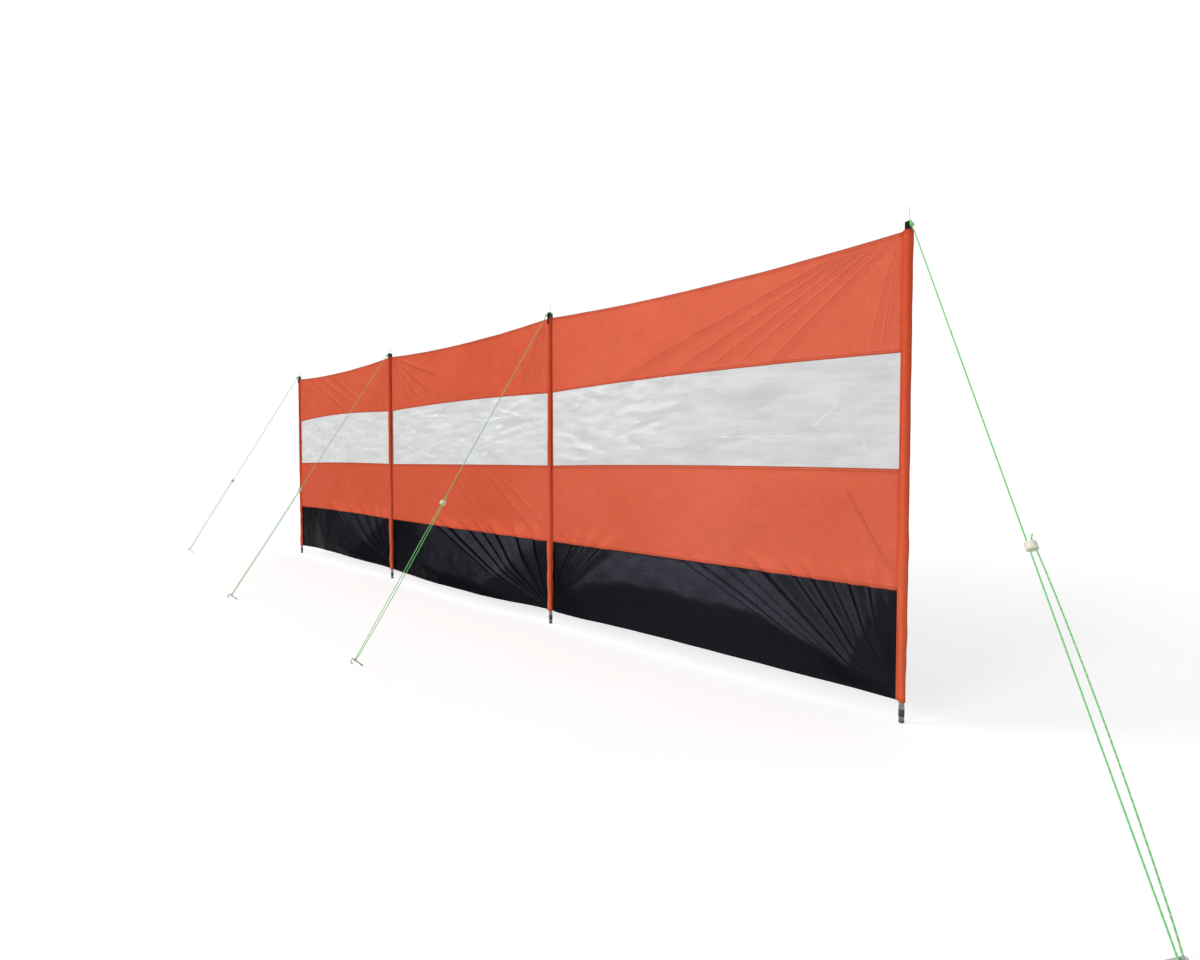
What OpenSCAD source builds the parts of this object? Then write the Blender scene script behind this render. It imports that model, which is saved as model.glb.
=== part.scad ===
// Windbreak of three bays, pitched: four steel poles in cloth sleeves, banded
// cloth with a clear window in each bay, and four guys pegged to the ground.
// +X runs along the cloth, -Y is the guyed front, +Z is up.
// The origin is the middle of the first pole's foot, at ground level.

/* [Windbreak] */
// Distance from one pole to the next
bay_length = 1650; // [1000:10:2200]
// Height of the cloth at the poles
cloth_height = 1400; // [1200:10:1800]
// Bare pole between the ground and the cloth
ground_gap = 64; // [30:1:150]

/* [Bands] */
// Height of the dark skirt at the poles
skirt_height = 332; // [200:1:400]
// Height of the band between the skirt and the window
middle_height = 366; // [250:1:420]
// Height of the window
window_height = 346; // [250:1:380]
// Dip of the top edge half way between two poles
top_dip = 25; // [0:1:50]
// Rise of the seam above the window half way between two poles
window_top_rise = 8; // [0:1:15]
// Rise of the seam below the window half way between two poles
window_foot_rise = 5; // [0:1:15]
// Rise of the skirt's seam half way between two poles
skirt_seam_rise = 3; // [0:1:15]
// Rise of the bottom hem half way between two poles
hem_rise = 10; // [0:1:20]

/* [Cloth] */
// Thickness of one sheet
sheet_t = 1.2; // [0.8:0.1:2]
// Overlap of two sheets where they are sewn
seam_lap = 12; // [8:1:25]
// Thickness of the cloth gathered round a pole
sleeve_wall = 2.7; // [1:0.1:4]
// Width of the flat seam beside a sleeve
sleeve_seam = 6.5; // [4:0.5:15]

/* [Poles] */
// Outer diameter of a pole
pole_d = 16; // [13:0.5:22]
// Wall of a pole
pole_wall = 1.2; // [0.8:0.1:2]
// Bare pole above the cloth
pole_proud = 18; // [10:1:40]
// Solid spike that closes the pole's foot
spike_height = 45; // [20:1:60]

/* [Caps and pins] */
// Height of a cap above the pole
cap_head = 4; // [3:0.5:8]
// Depth of a cap's plug inside the pole
cap_plug = 18; // [16:1:30]
// Diameter of a pin's free end
pin_d = 4.5; // [3:0.5:5]
// Diameter of a pin's shank, in the cap and through the strap and the cord's eye
shank_d = 6; // [5.5:0.5:8]
// Free length of a pin above its cap
pin_free = 48; // [30:1:70]
// Depth of a pin in its cap
pin_seat = 14; // [8:1:16]

/* [Straps] */
// Width of the strap over a pole's head
strap_width = 12; // [10:1:16]
// Thickness of a strap
strap_t = 1.5; // [1:0.1:2]
// Length of strap sewn down each side of the sleeve
strap_sewn = 30; // [20:1:60]

/* [Guys] */
// Diameter of the cord
cord_d = 3; // [2:0.5:4]
// Distance on the ground from a pole to its peg
guy_reach = 935; // [600:5:1400]
// Turn of each end guy, outwards from straight in front
end_guy_turn = 45; // [0:5:60]
// Height of a slider above the ground
slider_height = 610; // [300:10:900]
// Diameter of a slider
slider_d = 24; // [20:1:30]
// Length of a slider along the cord
slider_length = 16; // [10:1:25]
// Distance between a slider's two holes
slider_pitch = 12; // [9:0.5:14]
// Radius of the stopper knot
knot_r = 3.4; // [3:0.1:5]
// Loose cord beyond the knot
cord_tail = 16; // [8:1:40]
// Swelling of the cord at its eye and where it bends sharply
cord_swell = 0.15; // [0.1:0.05:0.3]

/* [Pegs] */
// Diameter of a peg's wire
peg_d = 5; // [4:0.5:8]
// Lean of a peg away from its pole
peg_lean = 45; // [20:5:50]
// Length of peg above the ground, up to its hook
peg_free = 45; // [35:1:80]
// Bending radius of the hook
hook_r = 8; // [7:0.5:12]
// Length of the hook's straight tip
hook_tip = 6; // [2:1:10]
// Distance of the cord below the hook
cord_drop = 6; // [4:1:10]

/* [Fits] */
// Gap between pieces that slide or lie loosely together
loose_gap = 0.3; // [0.2:0.05:0.5]
// Gap round a piece pressed or glued into another
press_gap = 0.1; // [0.05:0.05:0.2]

/* [Hidden] */
bays = 3;
poles = bays + 1;
edge_steps = 24;
$fn = 48;

pole_r = pole_d / 2;
bore_r = pole_r - pole_wall;
sleeve_r = pole_r + loose_gap + sleeve_wall;
seam_end = sleeve_r + sleeve_seam;
pin_r = pin_d / 2;
shank_r = shank_d / 2;
cord_r = cord_d / 2;
peg_r = peg_d / 2;

// Levels above the ground, at the poles
skirt_seam_z = ground_gap + skirt_height;
window_foot_z = skirt_seam_z + middle_height;
window_top_z = window_foot_z + window_height;
cloth_top_z = ground_gap + cloth_height;
pole_top_z = cloth_top_z + pole_proud;
cap_top_z = pole_top_z + cap_head;
strap_top_z = cap_top_z + strap_t;

// The strap's flat top is as wide as the cap that carries it
strap_half = sleeve_r + loose_gap;
strap_corner = strap_half - pole_r;

// The cord lies level from its eye on the pin, then runs down clear of the
// strap's round shoulder
swell_r = cord_r + cord_swell;
eye_r = shank_r + loose_gap + swell_r;
eye_z = strap_top_z + loose_gap + swell_r;
shank_top_z = eye_z + swell_r + loose_gap;
shoulder = [pole_r, strap_top_z - strap_corner - strap_t];
shoulder_r = strap_corner + strap_t + cord_r + loose_gap;

// The cord passes round the peg just under the hook
loop_r = peg_r + loose_gap + swell_r;
loop_s = peg_free - cord_drop;
loop_x = guy_reach + loop_s * sin(peg_lean);
loop_z = loop_s * cos(peg_lean);

// Where the straight cord meets the level one
span = [loop_x, loop_z] - shoulder;
pass_angle = atan2(span.y, span.x) + acos(shoulder_r / norm(span));
bend_x = shoulder.x + (shoulder_r - (eye_z - shoulder.y) * sin(pass_angle)) / cos(pass_angle);

// The two strands, and the slider on them
main_foot = [loop_x, -loop_r, loop_z];
main_head = [bend_x, 0, eye_z];
main_way = (main_head - main_foot) / norm(main_head - main_foot);
main_hole = main_foot + main_way * (slider_height - loop_z) / main_way.z;
back_foot = [loop_x, loop_r, loop_z];
back_hole = main_hole + [0, slider_pitch, 0];
back_way = (back_hole - back_foot) / norm(back_hole - back_foot);
knot = back_hole + back_way * (slider_length / 2 + knot_r + loose_gap);
slider_centre = (main_hole + back_hole) / 2;

function names(word, count) = [for (i = [1:count]) str(word, "_", i)];

function pole_x(i) = (i - 1) * bay_length;
// Direction of a guy on plan: straight in front, or turned out at the ends
function guy_angle(i) = -90 + (i == poles ? end_guy_turn : 0) - (i == 1 ? end_guy_turn : 0);

module at_pole(i) {
    translate([pole_x(i), 0, 0]) children();
}

module along_guy(i) {
    at_pole(i) rotate([0, 0, guy_angle(i)]) children();
}

module at_peg() {
    translate([guy_reach, 0, 0]) rotate([0, peg_lean, 0]) children();
}

// Round bar from one point to another
module rod(a, b, r) {
    way = b - a;
    translate(a)
        rotate([0, acos(way.z / norm(way)), atan2(way.y, way.x)])
            cylinder(h = norm(way), r = r);
}

// Steel tube, closed at the foot by the spike that goes into the ground
module pole(i) {
    color("silver") at_pole(i) difference() {
        cylinder(h = pole_top_z, r = pole_r);
        translate([0, 0, spike_height]) cylinder(h = pole_top_z, r = bore_r);
    }
}

// Plastic bung in the head of the tube, with a blind hole for the pin
module cap(i) {
    color("black") at_pole(i) difference() {
        union() {
            translate([0, 0, pole_top_z]) cylinder(h = cap_head, r = pole_r);
            translate([0, 0, pole_top_z - cap_plug])
                cylinder(h = cap_plug + cap_head / 2, r = bore_r - press_gap);
        }
        translate([0, 0, cap_top_z - pin_seat]) cylinder(h = pin_seat * 2, r = shank_r + press_gap);
    }
}

// Stepped steel pin with a round nose
module pin(i) {
    nose_z = cap_top_z + pin_free - pin_r;
    color("gainsboro") at_pole(i) {
        translate([0, 0, cap_top_z - pin_seat]) cylinder(h = shank_top_z - cap_top_z + pin_seat, r = shank_r);
        translate([0, 0, shank_top_z]) cylinder(h = nose_z - shank_top_z, r = pin_r);
        translate([0, 0, nose_z]) sphere(r = pin_r);
    }
}

// Upright outline with two round shoulders
module shouldered(half, top, corner) {
    foot = cloth_top_z - strap_sewn;
    translate([-half, foot]) square([2 * half, top - corner - foot]);
    translate([corner - half, foot]) square([2 * (half - corner), top - foot]);
    for (side = [-1, 1])
        translate([side * (half - corner), top - corner]) circle(r = corner);
}

// Webbing over the pole's head, sewn down the front and back of the sleeve
module strap(i) {
    color("black") at_pole(i) difference() {
        rotate([90, 0, 90]) linear_extrude(strap_width, center = true) difference() {
            shouldered(strap_half + strap_t, strap_top_z, strap_corner + strap_t);
            shouldered(strap_half, cap_top_z, strap_corner);
            translate([-strap_half, cloth_top_z - 2 * strap_sewn]) square([2 * strap_half, 2 * strap_sewn]);
        }
        translate([0, 0, cap_top_z - strap_t]) cylinder(h = 3 * strap_t, r = shank_r + loose_gap);
    }
}

// Cloth tube round a pole, with a flat seam towards each bay beside it
module sleeve(i) {
    left = i == 1 ? 0 : seam_end;
    right = i == poles ? 0 : seam_end;
    color("firebrick") at_pole(i) translate([0, 0, ground_gap]) linear_extrude(cloth_height) difference() {
        union() {
            circle(r = sleeve_r);
            translate([-left, -sheet_t / 2]) square([left + right, sheet_t]);
        }
        circle(r = pole_r + loose_gap);
    }
}

// Flat sheet across a bay between two bowed edges.
// Each edge is [height at the poles, rise half way between them, overlap].
module sheet(bay, low, high, inset, back) {
    start = pole_x(bay) + inset;
    length = bay_length - 2 * inset;
    function rise(x) = 4 * (x - pole_x(bay)) * (pole_x(bay + 1) - x) / pow(bay_length, 2);
    function edge(line, step) =
        let (x = start + length * step / edge_steps)
        [x, line[0] + line[1] * rise(x) + line[2]];
    translate([0, back, 0]) rotate([90, 0, 0]) linear_extrude(sheet_t) polygon(concat(
        [for (step = [0:edge_steps]) edge(low, step)],
        [for (step = [edge_steps:-1:0]) edge(high, step)]
    ));
}

// Orange sheets lie in the front layer and end at the sleeves' flat seams
module front_sheet(bay, low, high) {
    sheet(bay, low, high, seam_end, sheet_t / 2);
}

// Skirt and window lie in the layer behind, lapped under the seams round them
module back_sheet(bay, low, high) {
    sheet(bay, low, high, sleeve_r + loose_gap, sheet_t * 3 / 2);
}

module skirt(bay) {
    color("dimgray") back_sheet(bay, [ground_gap, hem_rise, 0], [skirt_seam_z, skirt_seam_rise, seam_lap]);
}

module middle_band(bay) {
    color("orangered")
        front_sheet(bay, [skirt_seam_z, skirt_seam_rise, 0], [window_foot_z, window_foot_rise, 0]);
}

module window(bay) {
    color("gainsboro", 0.6) back_sheet(
        bay, [window_foot_z, window_foot_rise, -seam_lap], [window_top_z, window_top_rise, seam_lap]);
}

module top_band(bay) {
    color("orangered") front_sheet(bay, [window_top_z, window_top_rise, 0], [cloth_top_z, -top_dip, 0]);
}

// Straight stretch of cord that ends just inside the swellings at a and b
module strand(a, b) {
    inset = (b - a) / norm(b - a) * cord_r / 4;
    rod(a + inset, b - inset, cord_r);
}

// One cord: eye round the pin, strand to the peg, loop round it, and strand
// back through the slider to a stopper knot
module guy(i) {
    loop_inset = asin(cord_r / 4 / loop_r);
    color("limegreen") along_guy(i) {
        translate([0, 0, eye_z]) rotate_extrude() translate([eye_r, 0]) circle(r = swell_r);
        strand([eye_r, 0, eye_z], main_head);
        strand(main_head, main_foot);
        strand(back_foot, knot + back_way * (knot_r + cord_tail));
        for (bend = [main_head, main_foot, back_foot]) translate(bend) sphere(r = swell_r);
        at_peg() translate([0, 0, loop_s]) rotate([0, 0, loop_inset - 90])
            rotate_extrude(angle = 180 - 2 * loop_inset) translate([loop_r, 0]) circle(r = cord_r);
        translate(knot) sphere(r = knot_r);
    }
}

// Round runner with a hole for each strand
module slider(i) {
    half = main_way * slider_length / 2;
    color("beige") along_guy(i) difference() {
        rod(slider_centre - half, slider_centre + half, slider_d / 2);
        rod(main_hole - 2 * half, main_hole + 2 * half, cord_r + loose_gap);
        rod(back_hole - back_way * slider_length, back_hole + back_way * slider_length, cord_r + loose_gap);
    }
}

// Bent wire peg, cut off level with the ground
module peg(i) {
    color("silver") along_guy(i) difference() {
        at_peg() {
            translate([0, 0, -peg_free]) cylinder(h = 2 * peg_free, r = peg_r);
            translate([hook_r, 0, peg_free]) rotate([90, 0, 0])
                rotate_extrude(angle = 180) translate([hook_r, 0]) circle(r = peg_r);
            translate([2 * hook_r, 0, peg_free - hook_tip]) cylinder(h = hook_tip, r = peg_r);
        }
        translate([guy_reach, 0, -peg_free]) cube(2 * peg_free, center = true);
    }
}

for (i = [1:poles]) {
    pole(i);
    cap(i);
    pin(i);
    strap(i);
    sleeve(i);
    guy(i);
    slider(i);
    peg(i);
}
for (bay = [1:bays]) {
    skirt(bay);
    middle_band(bay);
    window(bay);
    top_band(bay);
}
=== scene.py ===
import math

import bpy
import numpy as np
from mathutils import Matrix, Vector


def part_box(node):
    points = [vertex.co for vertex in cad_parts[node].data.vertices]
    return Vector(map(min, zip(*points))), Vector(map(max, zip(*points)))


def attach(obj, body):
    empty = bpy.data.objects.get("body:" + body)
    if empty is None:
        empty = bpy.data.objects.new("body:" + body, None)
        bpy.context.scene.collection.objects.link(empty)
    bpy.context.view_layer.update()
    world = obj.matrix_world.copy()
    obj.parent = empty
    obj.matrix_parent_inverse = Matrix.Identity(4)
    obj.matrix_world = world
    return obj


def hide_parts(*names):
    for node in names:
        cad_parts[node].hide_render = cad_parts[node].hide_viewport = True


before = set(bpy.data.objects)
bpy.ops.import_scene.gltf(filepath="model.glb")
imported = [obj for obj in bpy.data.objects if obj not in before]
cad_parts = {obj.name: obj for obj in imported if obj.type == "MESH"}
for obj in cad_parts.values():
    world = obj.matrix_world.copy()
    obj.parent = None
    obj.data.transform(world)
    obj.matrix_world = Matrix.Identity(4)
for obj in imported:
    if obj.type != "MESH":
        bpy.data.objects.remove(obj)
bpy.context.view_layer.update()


# ---- Poles -------------------------------------------------------------------
# Four galvanised steel tubes, open at the head and closed at the foot by a
# solid spike. Each is one length of tube, bare only at its two ends.
# The zinc is dull with a faint spangle, drawn lengthwise, and muddy at the foot.

BAYS = 3
POLES = BAYS + 1
pole_x = [sum(v.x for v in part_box(f"pole_{i + 1}")) / 2 for i in range(POLES)]
bay_length = pole_x[1] - pole_x[0]
pole_r = (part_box("pole_1")[1].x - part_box("pole_1")[0].x) / 2


def place(tree, kind, inputs=None, **settings):
    """Adds a node to a tree. An input is a plain value or another node's output."""
    made = tree.nodes.new(kind)
    for name, value in settings.items():
        setattr(made, name, value)
    for name, value in (inputs or {}).items():
        if isinstance(value, bpy.types.NodeSocket):
            tree.links.new(value, made.inputs[name])
        else:
            made.inputs[name].default_value = value
    return made


def sum_of(tree, operation, *values):
    """Output of a Math node."""
    inputs = dict(enumerate(values))
    return place(tree, "ShaderNodeMath", inputs, operation=operation).outputs[0]


def times(tree, first, second):
    return sum_of(tree, "MULTIPLY", first, second)


def blend(tree, factor, first, second, kind="MIX"):
    """Output of a colour Mix node. Its colour sockets are numbers 6 and 7."""
    inputs = {0: factor}
    for socket, colour in ((6, first), (7, second)):
        inputs[socket] = colour if isinstance(colour, bpy.types.NodeSocket) else (*colour, 1)
    return place(tree, "ShaderNodeMix", inputs, data_type="RGBA", blend_type=kind).outputs[2]


def ranged(tree, value, low, high, to_low=0.0, to_high=1.0):
    """Output of a Map Range node."""
    inputs = {0: value, 1: low, 2: high, 3: to_low, 4: to_high}
    return place(tree, "ShaderNodeMapRange", inputs).outputs[0]


def new_group(name, inputs, outputs):
    """Empty shader node group, with its input and output nodes. An input is given as
    name: value to start from, where None stands for a vector."""
    tree = bpy.data.node_groups.new(name, "ShaderNodeTree")
    for socket, default in inputs.items():
        kind = "NodeSocketVector" if default is None else "NodeSocketFloat"
        made = tree.interface.new_socket(socket, in_out="INPUT", socket_type=kind)
        if default is not None:
            made.default_value = default
    for socket in outputs:
        tree.interface.new_socket(socket, in_out="OUTPUT", socket_type="NodeSocketFloat")
    return tree, tree.nodes.new("NodeGroupInput").outputs, tree.nodes.new("NodeGroupOutput")


def give_out(tree, result, **values):
    """Sends values to the outputs of the group that have their names."""
    for name, value in values.items():
        tree.links.new(value, result.inputs[name])


def use_group(tree, group, inputs=None):
    """Places a node group in a material and returns its outputs."""
    return place(tree, "ShaderNodeGroup", inputs, node_tree=group).outputs


def new_material(name, plain=None):
    """Material with only its Principled shader, as (material, tree, shader). The
    sockets in plain have one value all over."""
    material = bpy.data.materials.new(name)
    material.use_nodes = True
    tree = material.node_tree
    shader = tree.nodes["Principled BSDF"]
    for socket, value in (plain or {}).items():
        shader.inputs[socket].default_value = value
    return material, tree, shader


def plug(tree, source, shader, socket):
    tree.links.new(source, shader.inputs[socket])


def bump(tree, shader, height, strength, distance):
    """Feeds a height, in metres when distance is 1, to a shader's normal."""
    inputs = {"Height": height, "Strength": strength, "Distance": distance}
    made = place(tree, "ShaderNodeBump", inputs)
    tree.links.new(made.outputs["Normal"], shader.inputs["Normal"])


def object_place(tree):
    return place(tree, "ShaderNodeTexCoord").outputs["Object"]


def noise(tree, position, size, detail=2.0, rough=0.5):
    """Noise from 0 to 1 with features about as big as size, in metres."""
    inputs = {"Vector": position, "Scale": 1 / size, "Detail": detail, "Roughness": rough}
    return place(tree, "ShaderNodeTexNoise", inputs).outputs["Fac"]


def parts_of(tree, vector):
    """X, Y and Z outputs of a vector."""
    return place(tree, "ShaderNodeSeparateXYZ", {0: vector}).outputs


def stretched(tree, position, scale):
    """Position with each axis multiplied, so that a pattern on it is drawn out."""
    inputs = {0: position, 1: scale}
    return place(tree, "ShaderNodeVectorMath", inputs, operation="MULTIPLY").outputs[0]


def build_metal_wear():
    """Drawn lines along Z, zinc spangle, and soil that fades out above the ground."""
    sockets = {"Position": None, "Spangle size": 0.004, "Soil height": 0.03}
    tree, given, result = new_group("Metal wear", sockets, ["Grain", "Spangle", "Soil"])
    grain = noise(tree, stretched(tree, given["Position"], (1, 1, 0.02)), 0.0012, 3)
    scale = sum_of(tree, "DIVIDE", 1.0, given["Spangle size"])
    spangle = place(tree, "ShaderNodeTexVoronoi", {"Vector": given["Position"], "Scale": scale})
    height = parts_of(tree, given["Position"])["Z"]
    level = sum_of(tree, "DIVIDE", height, given["Soil height"])
    patchy = times(tree, noise(tree, given["Position"], 0.006, 4, 0.7), 1.2)
    soil = ranged(tree, sum_of(tree, "SUBTRACT", patchy, level), -0.1, 0.5)
    tint = place(tree, "ShaderNodeSeparateColor", {0: spangle.outputs["Color"]})
    give_out(tree, result, Grain=grain, Spangle=tint.outputs[0], Soil=soil)
    return tree


metal_wear = build_metal_wear()
MUD = (0.10, 0.075, 0.05)
DIP_BLACK = (0.012, 0.013, 0.013)
# Height over which the dipped black starts
DIP_EDGE = 0.0003


def steel(name, dark, light, roughness, spangle_size, soil_height, dipped_from=None):
    """Zinc-coated steel between two greys, with a black dipped end above a height."""
    material, tree, shader = new_material(name, {"Metallic": 0.85, "Specular IOR Level": 0.5})
    position = object_place(tree)
    wear = use_group(tree, metal_wear, {
        "Position": position, "Spangle size": spangle_size, "Soil height": soil_height,
    })
    half_spangle = times(tree, wear["Spangle"], 0.5)
    mottle = sum_of(tree, "MULTIPLY_ADD", wear["Grain"], 0.5, half_spangle)
    zinc = blend(tree, mottle, dark, light)
    colour = blend(tree, wear["Soil"], zinc, MUD)
    bare = ranged(tree, wear["Soil"], 0, 1, 0.85, 0)
    if dipped_from:
        height = parts_of(tree, position)["Z"]
        dipped = ranged(tree, height, dipped_from, dipped_from + DIP_EDGE)
        colour = blend(tree, dipped, colour, DIP_BLACK)
        bare = times(tree, bare, sum_of(tree, "SUBTRACT", 1.0, dipped))
    plug(tree, colour, shader, "Base Color")
    plug(tree, bare, shader, "Metallic")
    shine = ranged(tree, mottle, 0.2, 0.8, roughness - 0.07, roughness + 0.1)
    dull = times(tree, wear["Soil"], 0.85)
    plug(tree, sum_of(tree, "MAXIMUM", shine, dull), shader, "Roughness")
    relief = sum_of(tree, "ADD", wear["Grain"], times(tree, wear["Soil"], 4.0))
    bump(tree, shader, relief, 0.4, 0.0002)
    return material


def finish_cad(word, count, material):
    """Gives a row of CAD nodes a material in place of their plain one."""
    for i in range(count):
        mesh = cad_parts[f"{word}_{i + 1}"].data
        mesh.materials.clear()
        mesh.materials.append(material)


pole_zinc = steel(
    "pole_zinc", (0.11, 0.116, 0.10), (0.30, 0.31, 0.27), roughness=0.36, spangle_size=0.006,
    soil_height=0.022, dipped_from=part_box("sleeve_1")[1].z - 0.01)
finish_cad("pole", POLES, pole_zinc)


# ---- Depth rings -------------------------------------------------------------
# A band of black shrink tube on each pole's spike. It shows how far the spike
# is pushed in, and keeps mud out of the joint between tube and spike.

RING_LOW = 0.019
RING_HIGH = 0.041
RING_WALL = 0.0006
# Room between the ring and the pole
RING_FIT = 0.00005
RING_SIDES = 48


def make_mesh(name, points, faces, material, smooth=50):
    """Object from points and faces, smooth except at edges sharper than an angle."""
    mesh = bpy.data.meshes.new(name)
    corners = faces.tolist() if isinstance(faces, np.ndarray) else faces
    mesh.from_pydata(np.asarray(points).tolist(), [], corners)
    mesh.materials.append(material)
    mesh.polygons.foreach_set("use_smooth", np.ones(len(mesh.polygons), bool))
    mesh.set_sharp_from_angle(angle=math.radians(smooth))
    made = bpy.data.objects.new(name, mesh)
    bpy.context.scene.collection.objects.link(made)
    return made


def grid_faces(rows, columns, closed_rows=False, closed_columns=False, first=0, flip=False):
    """Four-sided faces of a grid of points that runs row by row."""
    row = np.arange(rows if closed_rows else rows - 1)
    column = np.arange(columns if closed_columns else columns - 1)
    a, b = np.meshgrid(row, column, indexing="ij")
    next_row, next_column = (a + 1) % rows, (b + 1) % columns
    faces = np.stack([
        a * columns + b, a * columns + next_column,
        next_row * columns + next_column, next_row * columns + b,
    ], axis=-1).reshape(-1, 4) + first
    return faces[:, ::-1] if flip else faces


def both_sides(rows, columns):
    """Faces of two grids of points, front then back, closed by a rim between them."""
    count = rows * columns
    grid = np.arange(count).reshape(rows, columns)
    rim = np.concatenate([grid[0, :-1], grid[:-1, -1], grid[-1, :0:-1], grid[:0:-1, 0]])
    rim_next = np.roll(rim, -1)
    return np.concatenate([
        grid_faces(rows, columns),
        grid_faces(rows, columns, first=count, flip=True),
        np.stack([rim_next, rim, rim + count, rim_next + count], axis=-1),
    ])


def round_column(faces, columns):
    """Column of each corner of a tube's faces, counted on past the last one where
    the tube closes."""
    corner = faces % columns
    closes = (corner == 0) & (corner.max(axis=1, keepdims=True) == columns - 1)
    return np.where(closes, columns, corner)


def distance_along(path):
    """Distance of each point of a path from its first, measured along it."""
    return np.concatenate([[0], np.cumsum(np.linalg.norm(np.diff(path, axis=0), axis=1))])


def run_map(made, values):
    """Stores the run of the material at each point of each face, in metres."""
    layer = made.data.uv_layers.new(name="Run")
    layer.data.foreach_set("uv", np.asarray(values, np.float32).ravel())


def turned(name, outline, sides, centre, material):
    """Ring turned from a closed outline of (radius, height) points."""
    angle = np.arange(sides) * 2 * math.pi / sides
    radius, height = np.array(outline).T
    points = np.stack([
        centre[0] + np.outer(np.cos(angle), radius),
        centre[1] + np.outer(np.sin(angle), radius),
        centre[2] + np.outer(np.ones(sides), height),
    ], axis=-1).reshape(-1, 3)
    faces = grid_faces(sides, len(outline), closed_rows=True, closed_columns=True, flip=True)
    return make_mesh(name, points, faces, material)


def plastic(name, dark, light, roughness, grain, soil=0.0):
    """Moulded plastic between two close colours, with a fine spark-eroded grain."""
    material, tree, shader = new_material(name)
    position = object_place(tree)
    uneven = noise(tree, position, 0.02, 3)
    fine = noise(tree, position, grain, 2)
    colour = blend(tree, ranged(tree, uneven, 0.3, 0.7), dark, light)
    rubbed = ranged(tree, noise(tree, position, 0.006, 4, 0.7), 0.55, 0.75, 0, soil)
    plug(tree, blend(tree, rubbed, colour, (0.22, 0.18, 0.13)), shader, "Base Color")
    plug(tree, ranged(tree, fine, 0.3, 0.7, roughness - 0.08, roughness + 0.08), shader, "Roughness")
    bump(tree, shader, fine, 0.3, 0.0002)
    return material


ring_black = plastic(
    "ring_black", (0.012, 0.012, 0.012), (0.022, 0.022, 0.022), roughness=0.5, grain=0.0008,
    soil=0.5)

for i in range(POLES):
    inner = pole_r + RING_FIT
    outer = inner + RING_WALL
    edge = RING_WALL / 2
    outline = [
        (inner, RING_LOW), (outer - edge, RING_LOW), (outer, RING_LOW + edge),
        (outer, RING_HIGH - edge), (outer - edge, RING_HIGH), (inner, RING_HIGH),
    ]
    ring = turned(f"depth_ring_{i + 1}", outline, RING_SIDES, (pole_x[i], 0, 0), ring_black)
    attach(ring, "root")


# ---- Caps --------------------------------------------------------------------
# Black moulded bungs pressed into the open heads of the tubes. Each has a
# blind hole up its middle that holds the pin.

cap_black = plastic(
    "cap_black", (0.010, 0.011, 0.011), (0.020, 0.022, 0.021), roughness=0.42, grain=0.0006)
finish_cad("cap", POLES, cap_black)


# ---- Pins --------------------------------------------------------------------
# Stepped bright steel pins glued into the caps. The shank passes through the
# strap and the cord's eye, and the thin end stands clear above them.

pin_zinc = steel(
    "pin_zinc", (0.40, 0.41, 0.41), (0.66, 0.67, 0.67), roughness=0.28, spangle_size=0.002,
    soil_height=0.001)
finish_cad("pin", POLES, pin_zinc)


# ---- Sleeves -----------------------------------------------------------------
# Tubes of coated polyester, the length of the cloth, that the poles slide
# into. Each is folded round its pole and sewn shut in a flat seam towards
# each bay, where the bay's own sheets are sewn to it.

SLEEVE_STEP = 0.012
SLEEVE_POINTS = 18
SLEEVE_LIFT = 0.0009
# Depth of the wrinkles where the sleeve is tight, and how much deeper they and
# its twist are where it is slack
TIGHT_WRINKLE = 0.0006
SLACK_WRINKLE = 0.0016
# How far the outside is pulled in where it is tight, and the room each sleeve
# has round its pole at its head and at its foot
TIGHTEST = 0.0012
SLEEVE_ROOM = [(0.0, 0.001), (0.0052, 0.0052), (0.0008, 0.0066), (0.0036, 0.0020)]
sleeve_low, sleeve_high = (corner.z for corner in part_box("sleeve_2"))
seam_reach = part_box("sleeve_2")[1].x - pole_x[1]
sleeve_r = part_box("sleeve_2")[1].y
SEAM_HALF = 0.0006
SEAM_POINTS = 5


def build_weave():
    """Plain weave: warp and weft threads that pass over and under each other."""
    sockets = {"Across": 0.0, "Along": 0.0, "Thread": 0.001}
    tree, given, result = new_group("Weave", sockets, ["Height", "Slub"])
    across = sum_of(tree, "DIVIDE", given["Across"], given["Thread"])
    along = sum_of(tree, "DIVIDE", given["Along"], given["Thread"])
    weft = sum_of(tree, "SINE", times(tree, across, math.pi))
    warp = sum_of(tree, "SINE", times(tree, along, math.pi))
    over = sum_of(tree, "ABSOLUTE", times(tree, weft, warp))
    cross = place(tree, "ShaderNodeCombineXYZ", {"X": given["Across"], "Y": given["Along"]}).outputs[0]
    thick_warp = noise(tree, stretched(tree, cross, (1, 0.03, 1)), 0.0025, 2)
    thick_weft = noise(tree, stretched(tree, cross, (0.03, 1, 1)), 0.0025, 2)
    slub = times(tree, sum_of(tree, "ADD", thick_warp, thick_weft), 0.5)
    give_out(tree, result, Height=over, Slub=slub)
    return tree


def build_stitch_row():
    """One row of stitches at a set distance from an edge, as a mask."""
    sockets = {"Edge gap": 1.0, "Along": 0.0, "Row": 0.003, "Stitch": 0.0035, "Thread": 0.0005}
    tree, given, result = new_group("Stitch row", sockets, ["Mask"])
    aside = sum_of(tree, "ABSOLUTE", sum_of(tree, "SUBTRACT", given["Edge gap"], given["Row"]))
    narrow = sum_of(tree, "LESS_THAN", aside, given["Thread"])
    share = sum_of(tree, "FRACT", sum_of(tree, "DIVIDE", given["Along"], given["Stitch"]))
    dash = sum_of(tree, "LESS_THAN", share, 0.75)
    give_out(tree, result, Mask=times(tree, narrow, dash))
    return tree


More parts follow.
